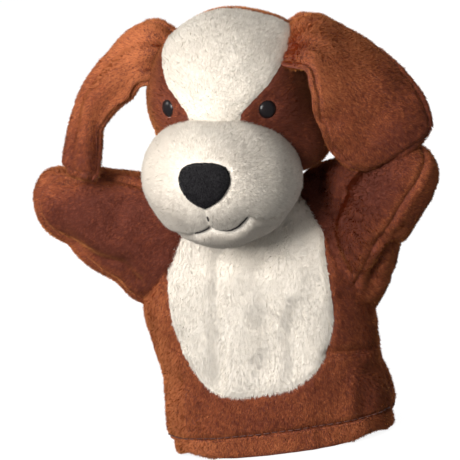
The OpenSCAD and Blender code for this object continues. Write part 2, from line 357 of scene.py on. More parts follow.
def make_materials():
    tones("brown_pile", BROWN_TONES, 0.4, srgb(255, 165, 95))
    tones("white_pile", WHITE_TONES, 0.1, srgb(255, 250, 240))
    tones("black_pile", BLACK_TONES, 0.1, srgb(110, 105, 120))
    speckle("brown_cloth", 0.95, BROWN_TONES[2], BROWN_TONES[:2], 260, 0.5, 900, rough=(0.85, 1),
            Sheen_Weight=0.2, Sheen_Tint=(*srgb(255, 150, 105), 1))
    speckle("white_cloth", 0.95, WHITE_TONES[2], WHITE_TONES[1::2], 260, 0.5, 900,
            rough=(0.85, 1), Sheen_Weight=0.1)
    speckle("black_cloth", 0.9, BLACK_TONES[0], BLACK_TONES[:2], 400, 0.6, 1400, rough=(0.8, 1),
            Sheen_Weight=0.15)
    speckle("black_thread", 0.6, srgb(40, 34, 36), (srgb(30, 25, 27), srgb(62, 54, 55)),
            900, 0.6, 2500, (1, 1, 3))
    speckle("brown_thread", 0.6, srgb(84, 44, 33), (srgb(70, 36, 28), srgb(100, 54, 40)),
            900, 0.6, 2500, (1, 1, 3))
    speckle("eye_black", 0.3, srgb(20, 17, 19), (srgb(16, 13, 15), srgb(28, 23, 25)),
            90, 0.02, 500, rough=(0.22, 0.34), Specular_IOR_Level=0.25)
    speckle("eye_amber", 0.3, srgb(96, 52, 40), (srgb(74, 38, 32), srgb(138, 84, 66)),
            300, 0.03, 600, rough=(0.25, 0.4), Specular_IOR_Level=0.3)
    speckle("washer", 0.45, srgb(222, 219, 211), (srgb(206, 202, 193), srgb(232, 229, 222)),
            120, 0.2, 500, rough=(0.35, 0.6))
    speckle("stuffing", 1, srgb(236, 233, 228), (srgb(215, 211, 205), srgb(245, 243, 240)),
            180, 1, 420, Sheen_Weight=0.3)
    speckle("lining", 0.9, srgb(200, 192, 180), (srgb(180, 171, 158), srgb(214, 207, 196)),
            700, 0.6, 1500, (1, 1, 4))


# -------- pieces

def add(name, verts, tris, materials, which=None, normals=None):
    """A mesh object from points in millimetres, with one material or several."""
    mesh = bpy.data.meshes.new(name)
    mesh.vertices.add(len(verts))
    mesh.vertices.foreach_set("co", (np.asarray(verts) * MM).astype(np.float32).ravel())
    mesh.loops.add(len(tris) * 3)
    mesh.loops.foreach_set("vertex_index", tris.astype(np.int32).ravel())
    mesh.polygons.add(len(tris))
    mesh.polygons.foreach_set("loop_start", np.arange(0, len(tris) * 3, 3, dtype=np.int32))
    for material in materials:
        mesh.materials.append(material)
    if which is not None:
        mesh.polygons.foreach_set("material_index", which.astype(np.int32))
    mesh.update(calc_edges=True)
    mesh.shade_smooth()
    if normals is not None:
        mesh.normals_split_custom_set_from_vertices(normals.tolist())
    return link(name, mesh)


def attach(piece, hold):
    """Rides on a body when hold is one. Hold can also be (body, body, start, end); then the piece is
    only left where it is.
    """
    if isinstance(hold, str):
        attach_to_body(piece, hold)
    else:
        a, b, start, end = hold
        tuple(np.array(start) * MM)
        tuple(np.array(end) * MM)
        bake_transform(piece)


def fit(name, shape, material, hold, slot, node=None):
    """A piece in its place, which stands for a node if one is given. Its slot is not used."""
    piece = add(name, *shape, [MATERIAL[material]])
    attach(piece, hold)
    if node:
        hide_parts(node)
    return piece


def away_from(place):
    """Combs blades away from a place."""
    return lambda points: points - place


def down(points):
    return np.tile([0.0, 0.0, -1.0], (len(points), 1))


PILE = {  # a blade's length and width, and how many degrees it leans
    "brown": (1.7, 0.34, 52),
    "white": (1.6, 0.36, 50),
    "shaggy": (2.1, 0.36, 60),
    "black": (0.9, 0.28, 45),
}
DENSITY = 8  # blades to a square millimetre
GUARD_SHARE = 0.15  # of the blades are longer, and stand up out of the others
SEAM_WIDTH = 2.4  # over which a seam pulls the pile in


def from_rim(verts, tris):
    """How far each point of a surface is from its border."""
    rim = verts[np.unique(rim_edges(tris))]
    in_turn = np.array_split(verts, 60)
    return np.concatenate([length_of(some[:, None] - rim).min(1) for some in in_turn])


def pile(name, surface, hold, cloth, kind=None, comb=down, clump=0.16, fringe=None, seam=0.4,
         trim=1, nap=0):
    """Short blades over a surface. They lean the way that comb points, in small clumps, and are
    cut down to the share seam at its border, by the function fringe, and by trim at each point.
    They take paler tones where nap, a number or a function of place, is higher: this gives a panel its
    own tone, and paints light and shade into the pile."""
    length, width, lean = PILE[kind or cloth]
    verts, tris = surface[0][:, :3], surface[1]
    area = length_of(crosses_of(verts, tris)) / 2
    count = int(area.sum() * DENSITY)
    pick = RNG.choice(len(tris), count, p=area / area.sum())
    u, v = RNG.random((2, count, 1))
    u, v = np.where(u + v > 1, 1 - u, u), np.where(u + v > 1, 1 - v, v)

    def mix(q):
        return (1 - u - v) * q[tris[pick, 0]] + u * q[tris[pick, 1]] + v * q[tris[pick, 2]]

    root, n = mix(verts), unit(mix(normals_of(verts, tris)))
    way = comb(root)
    way = unit(way - (way * n).sum(1, keepdims=True) * n + 1e-6)
    side = np.cross(n, way)
    swing = 0.22 * ripple(root, 16, 1) + 0.25 * ripple(root, 5, 2) + RNG.normal(0, 0.13, count)
    swing = swing[:, None]
    way = way * np.cos(swing) + side * np.sin(swing)
    guard = RNG.random(count) < GUARD_SHARE
    tilt = np.radians(lean - 22 * guard + 6 * ripple(root, 6, 3) + RNG.normal(0, 6, count))[:, None]
    out = n * np.cos(tilt) + way * np.sin(tilt)
    gather = np.stack([ripple(root, 2.6, s) for s in (4, 5, 6)], 1)
    size = 1 + 0.25 * guard + 0.12 * ripple(root, 9, 7) + RNG.normal(0, 0.12, count)
    size = length * size[:, None]
    if fringe:
        size = size * fringe(root)[:, None]
    cut_down = trim * (seam + (1 - seam) * smooth(from_rim(verts, tris) / SEAM_WIDTH))
    size = size * mix(cut_down[:, None])
    tip = root + size * unit(out + clump * gather)
    across = RNG.normal(size=(count, 3))
    across = unit(np.cross(out, n + 0.6 * across)) * width / 2
    turned = np.einsum("ij,ij->i", np.cross(2 * across, tip - root), n) < 0
    across[turned] *= -1
    points = np.stack([root - across, root + across, tip], 1).reshape(-1, 3)
    faces = np.arange(count * 3).reshape(-1, 3)
    soft = np.stack([n, n, unit(n + 0.45 * out)], 1).reshape(-1, 3)
    kinds = MATERIAL[cloth + "_pile"]
    # The tone shift: the panel's own tone plus painted light and shade.
    painted_light_and_tone = nap(root) if callable(nap) else nap
    level = (0.5 + painted_light_and_tone + 0.08 * ripple(root, 4, 8) + 0.1 * ripple(root, 30, 9)
             + RNG.normal(0, 0.18, count))
    which = np.clip((level * len(kinds)).astype(int), 0, len(kinds) - 1)
    piece = add(name, points, faces, kinds, which, soft)
    attach(piece, hold)


def panel(node, surface, hold, cloth, thickness=1.6):
    """A plush panel that takes a node's place. Its outer side is the surface."""
    verts, tris = surface[0][:, :3], surface[1]
    shape = thick(verts, tris, -thickness * normals_of(verts, tris))
    return fit(f"{node}_panel", shape, cloth + "_cloth", hold, CLOTH_SLOT[cloth], node)


def area_of(surface):
    """A surface's area in square metres."""
    return length_of(crosses_of(surface[0][:, :3], surface[1])).sum() / 2 * MM ** 2


SLACK = 0.95  # a panel's flat area over its area once sewn


def placed(surface, place):
    """The same surface with its points moved by a function."""
    data = surface[0].copy()
    data[:, :3] = place(data[:, :3])
    return data, surface[1]


def pushed(surface, by):
    """The same surface with each point moved along its normal."""
    data = surface[0].copy()
    data[:, :3] += normals_of(data[:, :3], surface[1]) * by[:, None]
    return data, surface[1]


def tube(points, radius, sides=8):
    """A closed round thread along the given points."""
    n = len(points)
    way = unit(np.gradient(points, axis=0))
    side = unit(np.cross(way, [0.3, 0.2, 0.93]))
    up = np.cross(side, way)
    turns = circle(sides)[None, :, None]
    taper = np.sqrt(np.minimum(np.arange(n), np.arange(n)[::-1]) / 1.5 + 0.15)
    size = radius * np.minimum(1, taper)[:, None, None]
    ring = np.cos(turns) * side[:, None] + np.sin(turns) * up[:, None]
    return (points[:, None] + ring * size).reshape(-1, 3), capped_faces(n, sides)[:, ::-1]


# -------- head

BLAZE = np.array([[14, -14], [15, 2], [20.5, 9], [31, 20], [37, 34], [38, 60]])
MOUTH = np.array([[-10, -60.2], [-4.8, -58], [0, -55.4], [4.5, -57], [10.3, -57.6],
                  [15.6, -55.4], [20, -51.4], [22, -49.2]])
LIP = np.array([[-46, -60], [-30, -64], [-20, -62.5], [-10, -61], [0, -56.4], [10, -58.6],
                [16, -56.2], [22, -50.4], [30, -54], [46, -58]])
PHILTRUM = np.array([[0, -40], [0, -55.4]])
EAR_PULL = np.array([37, 3, 44])  # the held-up ear draws the crown out this way
CHEEK_PULL = np.array([41, -7, -24])  # and the lifted arm draws the cheek out this way
MUZZLE_ROOT_R = 45.5  # where the muzzle starts, from the skull's centre
FILL_R = 42  # of the fibre in the skull
BORE_R = 15.2  # in the fibre, round the finger pocket
EYE_R = 5.3
THREAD_R = 0.42
NOSE_Z = -28
NOSE_BACK = 2.5  # how far the nose goes into the muzzle
NOSE = np.array([[0, -12.2], [4.2, -10.4], [9.2, -7], [13, -1.8], [14.6, 3.6], [12.4, 9],
                 [6.5, 11.6], [0, 12]])


def eye_spin(side):
    """Turns +Z to where an eye looks."""
    return turn("Z", side * EYE_SIDE) @ turn("X", 90 - EYE_UP)


def throat(points):
    """How far points in the head are outside the hollow round the neck."""
    return length_of(points + SKULL_FROM_NECK) - THROAT_R


def head_panel(node, part, cloth, **looks):
    part = placed(part, in_head)
    panel(node, part, "head", cloth)
    pile(f"{node}_pile", part, "head", cloth, **looks)


def make_skull():
    way, tris = ball(7)
    r = SKULL_R + 0.45 * ripple(way * SKULL_R, 38, 20)
    for side in (1, -1):
        r -= 2 * hump(length_of(way - eye_spin(side)[:, 2]) * SKULL_R, 8.5)
    r += 3.5 * hump(length_of(way - unit(EAR_PULL)) * SKULL_R, 15)
    r += 13 * hump(length_of(way - unit(CHEEK_PULL)) * SKULL_R, 19)
    points = way * r[:, None]
    x, y, z = points.T
    edge = along(BLAZE, np.linspace(0, 1, 60))
    front = CROWN_Y - y
    blaze = np.interp(z, edge[:, 1], edge[:, 0]) - np.abs(x)
    muzzle = (length_of((points - MUZZLE_AT) / MUZZLE_HALF) - 1) * 40
    surface = np.column_stack([points, front, blaze]), tris
    surface = pushed(surface, -0.9 * hump(front, 2) - 0.5 * hump(blaze, 2) * smooth(front / 8))
    surface = cut(surface, np.minimum(muzzle + 4, throat(points)))
    face, back = split(surface, 3)
    forehead, cheeks = split(face, 4)
    left, right = split(cheeks, 0)
    nose = in_head(np.array([0, MUZZLE_AT[1] - MUZZLE_HALF[1], NOSE_Z]))

    def round_eyes(points):
        near = np.min([length_of(points - in_head(eye_spin(s)[:, 2] * SKULL_R))
                       for s in (1, -1)], axis=0)
        return 0.35 + 0.65 * smooth((near - 5) / 4)

    # Painted shade: the brown sides of the head take darker tones, darkest on the left cheek, as the
    # shadow of the held-up ear.
    def painted_cheek_shade(points):
        return -0.32 - 0.2 * smooth((points[:, 0] - 24) / 16)

    for node, part, cloth, nap in (("head_back", back, "brown", 0),
                                   ("forehead_blaze", forehead, "white", 0),
                                   ("head_side_left", left, "brown", painted_cheek_shade),
                                   ("head_side_right", right, "brown", painted_cheek_shade)):
        head_panel(node, part, cloth, comb=away_from(nose), fringe=round_eyes, seam=0.6, nap=nap)


def muzzle_narrowing(w):
    return 1 - 0.07 * smooth(-1.2 * w)


def on_muzzle(x, z):
    """The front of the muzzle over a place on the face."""
    w = (z - MUZZLE_AT[2]) / MUZZLE_HALF[2]
    k = muzzle_narrowing(w)
    v = np.sqrt(np.maximum(1 - w ** 2 - (x / MUZZLE_HALF[0] / k) ** 2, 0))
    return np.stack([x, MUZZLE_AT[1] - MUZZLE_HALF[1] * k * v, z], -1)


def muzzle_dents(points):
    """The creases and lobes round the mouth, along the muzzle's normal."""
    x, y, z = points.T
    flat = points[:, [0, 2]]
    front = smooth((-44 - y) / 10)
    lips = (1.1 * hump(np.hypot(x - 12, z + 46), 9) + 1.1 * hump(np.hypot(x + 12, z + 46), 9)
            + 1.1 * hump(z + 66, 6) * hump(x + 2, 26))
    return (front * (lips - 1.7 * hump(to_polyline(flat, LIP), 2.2)
                     - 0.9 * hump(to_polyline(flat, PHILTRUM), 2)
                     - 1.2 * hump(to_polyline(flat, MOUTH), 1.6))
            + 0.5 * ripple(points, 26, 21))


def make_muzzle():
    p, tris = ball(7)
    k = muzzle_narrowing(p[:, 2])[:, None]
    points = p * MUZZLE_HALF * np.hstack([k, k, np.ones_like(k)]) + MUZZLE_AT
    surface = pushed((points, tris), muzzle_dents(points))
    points = surface[0]
    line = along(LIP, np.linspace(0, 1, 60))
    chin = np.interp(points[:, 0], line[:, 0], line[:, 1]) - points[:, 2]
    surface = np.column_stack([points, chin]), tris
    surface = cut(surface, np.minimum(length_of(points) - MUZZLE_ROOT_R, throat(points)))
    chin, upper = split(surface, 3)
    left, right = split(upper, 0)
    nose = in_head(on_muzzle(0, NOSE_Z) + [0, 10, 0])
    nose_edge = nose_outline() + [0, NOSE_Z]

    def round_mouth(points):
        local = (points - SKULL) @ HEAD
        flat = local[:, [0, 2]]
        front = local[:, 1] < -55
        near = np.minimum(to_polyline(flat, MOUTH), to_polyline(flat, PHILTRUM) + 1.2)
        near = np.where(front, np.minimum(near, -inside_outline(flat, nose_edge) + 1), 9)
        return 0.15 + 0.85 * smooth((near - 0.8) / 3)

    # Painted shade: the muzzle takes darker tones towards its right, where the light falls hardest, and
    # the chin darker ones still, as shade under the muzzle.
    def painted_light_and_tone(points):
        return -0.15 - 0.4 * smooth((-14 - points[:, 0]) / 14)

    for node, part, nap in (("muzzle_left", left, painted_light_and_tone), ("muzzle_right", right, painted_light_and_tone),
                            ("chin", chin, -0.5)):
        head_panel(node, part, "white", comb=away_from(nose), fringe=round_mouth, seam=0.8, nap=nap)


def nose_outline():
    half = along(NOSE, np.linspace(0, 1, 24))
    return np.vstack([half, half[-2:0:-1] * [-1, 1]])


def make_nose():
    ring = nose_outline()
    steps = np.append(np.linspace(0.02, 0.8, 10), np.linspace(0.84, 1, 10))
    flat = ring[None] * steps[:, None, None] + [0, NOSE_Z]
    base = on_muzzle(flat[..., 0], flat[..., 1])
    out = unit((base - MUZZLE_AT) / MUZZLE_HALF ** 2)
    rise = 5 * (1 - steps ** 7) ** 0.5 - 1.2
    verts = (base + out * rise[:, None, None]).reshape(-1, 3)
    inward = (-out * (rise[:, None, None] + NOSE_BACK)).reshape(-1, 3)
    n = len(ring)
    middle = [[i, (i + 1) % n, 0] for i in range(1, n - 1)]
    tris = np.vstack([grid_faces(len(steps), n, wrap=True)[:, ::-1], middle])
    shape, faces = thick(verts, tris, inward)
    piece = fit("nose_pad", (in_head(shape), faces), "black_cloth", "head", "black_felt", "nose")
    pile("nose_pile", (in_head(verts), tris), "head", "black")


def make_mouth():
    """Two short rows of embroidery, and one stitch under the nose."""
    left, right = MOUTH[:3] + [-0.8, 0], MOUTH[3:]
    stitch = np.array([[0.6, -45.8], [0.9, -48]])
    parts = []
    for line in (left, right, stitch):
        flat = along(line, np.linspace(0, 1, 26))
        base = on_muzzle(flat[:, 0], flat[:, 1])
        base += unit((base - MUZZLE_AT) / MUZZLE_HALF ** 2) * (muzzle_dents(base) + 0.9)[:, None]
        for twist in (0, math.pi):
            wave = 0.22 * np.sin(np.linspace(0, 8 * math.pi, 26) + twist)[:, None]
            parts.append(tube(base + wave * [0, 0, 1], THREAD_R))
    verts, tris = joined(parts)
    fit("mouth_stitches", (in_head(verts), tris), "black_thread", "head", "black_thread",
        "mouth_thread")


def lathe(profile, sides=48):
    """A turned shape about +Z, from [radius, height] points."""
    turns = circle(sides)
    verts = np.array([[r * np.cos(turns), r * np.sin(turns), np.full(sides, h)] for r, h in profile])
    return verts.transpose(0, 2, 1).reshape(-1, 3), grid_faces(len(profile), sides, wrap=True)


def make_eyes():
    seat = SKULL_R - 2.6
    arc = np.linspace(0, math.pi / 2, 14)
    dome = ([[0.01, -1], [EYE_R, -1]]
            + [[max(EYE_R * math.cos(t), 0.01), 0.5 + 2.8 * math.sin(t)] for t in arc])
    rim = [[5, -0.8], [6.3, -0.8], [6.6, -0.2], [6.5, 0.7], [5.9, 1.1], [5.1, 0.8], [5, -0.8]]
    for side, name in ((1, "left"), (-1, "right")):
        for part, profile, material, node in (("button", dome, "eye_black", f"eye_{name}"),
                                              ("rim", rim, "eye_amber", None)):
            verts, tris = lathe(profile)
            verts = in_head((verts + [0, 0, seat]) @ eye_spin(side).T)
            fit(f"eye_{name}_{part}", (verts, tris), material, "head", "eye_plastic", node)


def make_fill():
    """Loose fibre in the skull and the muzzle, round the finger pocket."""
    p, tris = ball(5)
    skull = p * FILL_R, tris
    muzzle = p * (MUZZLE_HALF - 7) + MUZZLE_AT, tris
    verts, tris = remeshed([skull, muzzle], 2.5, 4)
    surface = pushed((verts, tris), 1.2 * ripple(verts, 14, 30) + 0.6 * ripple(verts, 6, 31))
    points = surface[0]
    bore = length_of(points[:, :2] - [0, -SKULL_FROM_NECK[1]]) - BORE_R
    bore = np.where(points[:, 2] > 0, 99, bore)
    verts, tris = cut(surface, np.minimum(bore, throat(points) - 0.5))
    verts = in_head(verts)
    shape = thick(verts, tris, -4 * normals_of(verts, tris))
    fit("head_fill", shape, "stuffing", "head", "stuffing", "head_stuffing")
    for node, material in (("finger_pocket", "lining"), ("eye_washer_left", "washer"),
                           ("eye_washer_right", "washer")):
        shown = frame["nodes"][node]
        shown.data.materials.clear()
        shown.data.materials.append(MATERIAL[material])


# -------- body

# Height, half width towards the right and the left hand, half depth, place of the middle in y
BODY = np.array([[0, 59, 60.5, 36.5, 0], [13, 64, 63.5, 36.5, 0], [28, 64, 63.5, 36, 0],
                 [50, 61.5, 62, 34.8, 0], [70, 64, 63, 34.5, 0], [88, 68.5, 64, 34, 0],
                 [104, 66, 61.5, 31.5, 0], [118, 55, 54, 26.5, -0.3], [129, 47, 47, 23, -0.8],
                 [138, 38, 38, 21, -1.5], [145, 28, 28, 19.5, -2], [149, 20, 20, 18.5, -2]])
BODY_TOP = 149
SQUARENESS = 2.4  # 2 would make the body oval
HEM_H = 13
PATCH = np.array([[41, 160], [43.5, 128], [44, 104], [44.5, 84], [42.5, 68], [33, 48], [16, 37.5],
                  [-4, 36], [-18, 36.3], [-32.5, 41], [-42.5, 57], [-47.3, 76], [-48, 98], [-45.3, 118],
                  [-42.5, 130], [-39, 160]])
# Folds in the front: from and to in x and z, width, and how far in
FOLDS = [((-16, 118), (-27, 44), 5, 3.2), ((9, 112), (3, 52), 6, 1.9), ((24, 84), (16, 44), 5, 1.9),
         ((38, 54), (64, 50), 2.6, 2.2), ((50, 84), (64, 76), 3, 1.6), ((-50, 16), (-46, 62), 3, -1.4),
         ((-62, 34), (-50, 46), 3.5, 1.4), ((46, 18), (50, 40), 4, -1.2), ((58, 40), (64, 34), 3, 1.8)]
BACK_FOLDS = [((-30, 120), (-40, 30), 7, 1.8), ((12, 110), (18, 40), 8, 1.6),
              ((40, 60), (62, 56), 3.5, 1.6), ((-62, 70), (-44, 60), 3.5, 1.4)]
CHIN_ROOM = 5.8  # how far the front is pressed in under the chin
STITCH, STITCH_STEP = 3.6, 4.6  # a hem stitch's length, and from one stitch to the next
NECK_R, NECK_HALF = 17.6, 17
ARMHOLES = [((62, 0, 116), (24, 23, 26)), ((-62, 0, 127), (24, 22, 28))]  # centres and radii


def body_at(z, to_left):
    """Half the body's width on one side, half its depth and its middle in y, at a height."""
    right, left, deep, mid = (np.interp(z, BODY[:, 0], BODY[:, k]) for k in (1, 2, 3, 4))
    return np.where(to_left, left, right), deep, mid


def body_ring(z, angle):
    c, s = np.cos(angle), np.sin(angle)
    wide, deep, mid = body_at(z, c > 0)
    return np.stack([wide * np.sign(c) * np.abs(c) ** (2 / SQUARENESS),
                     mid + deep * np.sign(s) * np.abs(s) ** (2 / SQUARENESS), z + 0 * angle], -1)


def smooth_body(z, angle):
    """The body's outline with its level steps evened out."""
    steps = (-6, -3, 0, 3, 6)
    rings = (body_ring(np.clip(z + dz, 0, BODY_TOP), angle) + [0, 0, -dz] for dz in steps)
    return sum(rings) / len(steps)


def into_body(points):
    """Roughly how deep points are inside the body."""
    x, y, z = points.T
    wide, deep, mid = body_at(z, x > 0)
    share = np.abs(x / wide) ** SQUARENESS + np.abs((y - mid) / deep) ** SQUARENESS
    return np.minimum((1 - share ** (1 / SQUARENESS)) * deep, BODY_TOP - 2 - z)


def body_folds(points):
    """How far the folds push the body's surface out."""
    x, y, z = points.T
    flat, front, back = points[:, [0, 2]], smooth(-y / 12), smooth(y / 12)
    by = 1.0 * ripple(points, 60, 40) + 0.45 * ripple(points, 22, 41)
    for here, folds in ((front, FOLDS), (back, BACK_FOLDS)):
        for start, end, width, depth in folds:
            by -= here * depth * hump(to_polyline(flat, [start, end]), width)
    by -= CHIN_ROOM * front * hump(np.hypot(x - 2, (z - 129) * 1.3), 23)
    by += 0.8 * hump(np.hypot(x - 66, z - 16), 13) - 1.6 * hump(np.hypot(x - 64, z - 40), 9)
    by += 0.5 * ripple(points * [1, 1, 0.3], 13, 42) * hump(z - HEM_H, 8)
    return by * smooth((BODY_TOP + 3 - z) / 12)


def combed_down(points):
    wave = 0.35 * ripple(points, 30, 50)
    return np.stack([wave, 0 * wave, np.full(len(points), -1.0)], 1)


def make_torso():
    points, tris = sleeve(HEM_H - 2, BODY_TOP, 120, 320, smooth_body)
    patch = inside_outline(points[:, [0, 2]], along(PATCH, np.linspace(0, 1, 90)))
    seam = -points[:, 1]
    seams = -1.0 * hump(seam, 2) - 0.8 * hump(patch, 2) * smooth(seam / 8)
    hole = np.min([(length_of((points - at) / np.array(r)) - 1) * 22
                   for at, r in ARMHOLES], axis=0)
    surface = np.column_stack([points, seam, patch]), tris
    surface = pushed(surface, body_folds(points) + seams - 1.6 * hump(points[:, 2] - HEM_H, 1.8))
    surface = cut(surface, hole)
    front, back = split(surface, 3)
    tummy, front = split(front, 4)

    def shaggy(points):
        return 1 + 0.5 * smooth((48 - points[:, 2]) / 16)

    # Painted light and shade: lighter tones on the front of the right flank, which the light falls on,
    # and darker ones low in the middle and towards the left side.
    def painted_front_light(points):
        x, y, z = points.T
        flank = smooth((-36 - x) / 16) * smooth((y + 40) / 30) * smooth((112 - z) / 20)
        return (0.4 * flank - 0.16 * hump(np.hypot((x - 6) / 1.6, z - 26), 20)
                - 0.2 * smooth((x - 40) / 14))

    brown = {"clump": 0.14}
    white = {"kind": "shaggy", "clump": 0.17, "fringe": shaggy, "seam": 0.9}
    for node, part, cloth, flat, nap, looks in (
            ("torso_front", front, "brown", (0.15, 0.14), painted_front_light, brown),
            ("tummy_patch", tummy, "white", (0.1, 0.12), 0.45, white),
            ("torso_back", back, "brown", (0.15, 0.14), 0, brown)):
        piece = panel(node, part, "torso", cloth)
        area_of(part) * SLACK
        pile(f"{node}_pile", part, "torso", cloth, comb=combed_down, nap=nap, **looks)


def make_hem():
    """The turned-up edge: a flat loop of doubled cloth, round at its foot."""
    section = np.array([[0, HEM_H - 1], [0.3, 8], [0.4, 3], [-0.6, 0.6], [-2.4, 0], [-4.2, 0.6],
                        [-5, 3], [-5, 8], [-4.6, HEM_H - 0.5], [-2.4, HEM_H]])
    loop = along(np.vstack([section, section[:1]]), np.linspace(0, 1, 56))[:-1]
    turns = circle(320)
    edge = smooth_body(np.full(len(turns), 6.0), turns)
    out = unit(np.cross(np.roll(edge, -1, 0) - np.roll(edge, 1, 0), [0, 0, 1]))
    sway = 0.7 * ripple(edge, 30, 60) + 0.35 * ripple(edge, 11, 61)
    bulge = 0.5 * hump(np.hypot(edge[:, 0] - 66, edge[:, 1]), 22)
    across = loop[:, 0] + (sway + bulge)[:, None]
    verts = (edge[:, None] * [1, 1, 0] + across[..., None] * out[:, None]
             + loop[None, :, 1, None] * [0, 0, 1])
    tris = grid_faces(len(turns), len(loop), wrap=True)
    last = (len(turns) - 1) * len(loop)
    j = np.arange(len(loop))
    k = (j + 1) % len(loop)
    tris = np.vstack([tris, np.stack([last + j, last + k, k], 1), np.stack([last + j, k, j], 1)])
    verts = verts.reshape(-1, 3)
    corners = (5.5 * hump(np.hypot(verts[:, 0] + 56, verts[:, 1] + 26), 18)
               + 4.5 * hump(np.hypot(verts[:, 0] - 60, verts[:, 1] + 22), 16))
    verts[:, 2] += corners * smooth(1 - verts[:, 2] / HEM_H)
    fit("hem_band_panel", (verts, tris), "brown_cloth", "torso", "brown_plush", "hem_band")
    outside = verts[tris].mean(1)
    wall = (normals_of(verts, tris)[tris].mean(1) * (outside * [1, 1, 0])).sum(1) > 0
    # Painted highlight: the hem's pile takes lighter tones towards the right, where the light falls.
    pile("hem_band_pile", (verts, tris[wall & (outside[:, 2] > 1.2)]), "torso", "brown",
         comb=combed_down, nap=lambda points: 0.4 * smooth((-24 - points[:, 0]) / 16))


def make_hem_stitches():
    turns = circle(4000)
    line = smooth_body(np.full(len(turns), HEM_H + 0.2), turns)
    line += unit((line + np.roll(line, 1, 0)) * [1, 1, 0] / 2) * (body_folds(line) - 0.1)[:, None]
    walked = np.append(0, length_of(np.diff(line, axis=0)).cumsum())
    parts = []
    for start in np.arange(0, walked[-1] - 4, STITCH_STEP):
        ends = start + np.array([0, STITCH]) + RNG.uniform(-0.3, 0.3, 2)
        s = np.linspace(*ends, 9)
        stitch = np.stack([np.interp(s, walked, line[:, k]) for k in range(3)], 1)
        sink = np.linspace(-1, 1, 9) ** 4
        stitch += unit(stitch * [1, 1, 0]) * (0.5 - 1.2 * sink)[:, None]
        parts.append(tube(stitch, THREAD_R, sides=6))
    fit("hem_stitches", joined(parts), "brown_thread", "torso", "brown_thread", "hem_thread")


def make_neck():
    """A gathered sleeve between the body and the hollow of the head."""
    def place(z, angle):
        pleats = 0.8 * np.cos(17 * angle + 0.6 * np.sin(3 * angle)) * (0.5 + 0.5 * hump(z, 9))
        r = NECK_R - 1.2 * hump(z, 10) + pleats
        return np.stack([r * np.cos(angle), r * np.sin(angle), z], -1) + NECK

    part = sleeve(-NECK_HALF, NECK_HALF, 40, 160, place)
    piece = panel("neck_sleeve", part, "neck", "brown")
    area_of(part) * SLACK
    pile("neck_sleeve_pile", part, "neck", "brown")


# -------- arms

TOWARDS_VIEW = np.array([0.19, -0.967, 0.17])
LEFT_RISE = np.array([-0.73, 0, 0.68])
# Along each arm: the middle, half its height across, half its depth
RIGHT_ARM = [((-50, 0, 121), (6, 0, 37), (0, -23, 0)),
             ((-65, -1, 129.5), (5.8, 0, 34.5), (0, -23, 0)),
             ((-77, -3, 137), (5.2, 0, 29.8), (0, -22, 0)),
             ((-88.5, -6, 144), (4.4, 0, 26), (-1, -20, 0)),
             ((-100, -8, 151.2), (3.4, 0, 20.8), (-2, -16.5, 0))]
RIGHT_ENDS = ((-24, 0, 119), (-118, -12, 161))
LEFT_ARM = [((43, 5, 80), LEFT_RISE * 19, TOWARDS_VIEW * 22),
            ((56, -6, 97), LEFT_RISE * 22, TOWARDS_VIEW * 24),
            ((69, -18, 117.6), LEFT_RISE * 22.4, TOWARDS_VIEW * 24),
            ((80.3, -25, 132), LEFT_RISE * 21.9, TOWARDS_VIEW * 22),
            ((90.8, -28, 144), LEFT_RISE * 20.5, TOWARDS_VIEW * 18)]
LEFT_ENDS = ((34, 8, 70), (111, -30, 161))
LEFT_SHOULDER = (((49, 5, 124), (27, 22, 32)), ((62, -4, 136), (19.5, 20, 25)))
ARM_ROOT = 7  # how deep an arm reaches into the body


def limb(stations, ends):
    """A closed sleeve through the stations, with a round cap beyond each end."""
    rows, cap, sides = 60, 18, 72
    q = np.array(stations, float)
    middle, tall, deep = (along(q[:, k], np.linspace(0, 1, rows)) for k in range(3))
    rise = np.radians(np.linspace(88, 4, cap))
    near, far = np.array(ends, float)
    middle = np.vstack([q[0, 0] + (near - q[0, 0]) * np.sin(rise)[:, None], middle,
                        q[-1, 0] + (far - q[-1, 0]) * np.sin(rise[::-1])[:, None]])
    scale = np.concatenate([np.cos(rise), np.ones(rows), np.cos(rise[::-1])])[:, None]
    tall, deep = (np.vstack([np.tile(size[0], (cap, 1)), size, np.tile(size[-1], (cap, 1))]) * scale
                  for size in (tall, deep))
    turns = circle(sides)[None, :, None]
    rings = middle[:, None] + tall[:, None] * np.cos(turns) + deep[:, None] * np.sin(turns)
    return rings.reshape(-1, 3), capped_faces(len(rings), sides)


def outwards(part):
    """The same closed shape with its faces turned outwards."""
    verts, tris = part
    a, b, c = (verts[tris[:, k]] for k in range(3))
    return (verts, tris) if (np.cross(a, b) * c).sum() > 0 else (verts, tris[:, ::-1])


def make_arm(side, parts, front_of, dents, hold, flat):
    """An arm of two panels, with the seam where front_of is 0."""
    verts, tris = remeshed([outwards(p) for p in parts], 1.4, 16)
    by = dents(verts) + 0.7 * ripple(verts, 34, 70) + 0.3 * ripple(verts, 14, 71)
    verts, tris = pushed((verts, tris), by)
    seam = front_of(verts)
    groove = -1.5 * hump(seam, 1.5) + 0.6 * hump(seam + 3.5, 2.2)
    surface = pushed((np.column_stack([verts, seam]), tris), groove)
    surface = cut(surface, ARM_ROOT - into_body(surface[0][:, :3]))
    way = (np.array(hold[3]) - hold[2]) * [1, 0.4, 0.4] + [0, 0, -18]

    # Painted light and shade: lighter tones along the seams, where the rims catch the light, and darker
    # ones over the rest of the front, darkest on the right arm.
    def painted_front_light(points):
        return 0.42 * hump(front_of(points), 5) - (0.5 if side == "right" else 0.36)

    def to_paw(points):
        return np.tile(way, (len(points), 1))

    for name, part in zip(("front", "back"), split(surface, 3)):
        piece = panel(f"arm_{side}_{name}", part, hold, "brown")
        min(area_of(part), flat[0] * flat[1])
        pile(f"arm_{side}_{name}_pile", part, hold, "brown", comb=to_paw,
             nap=painted_front_light if name == "front" else -0.05)


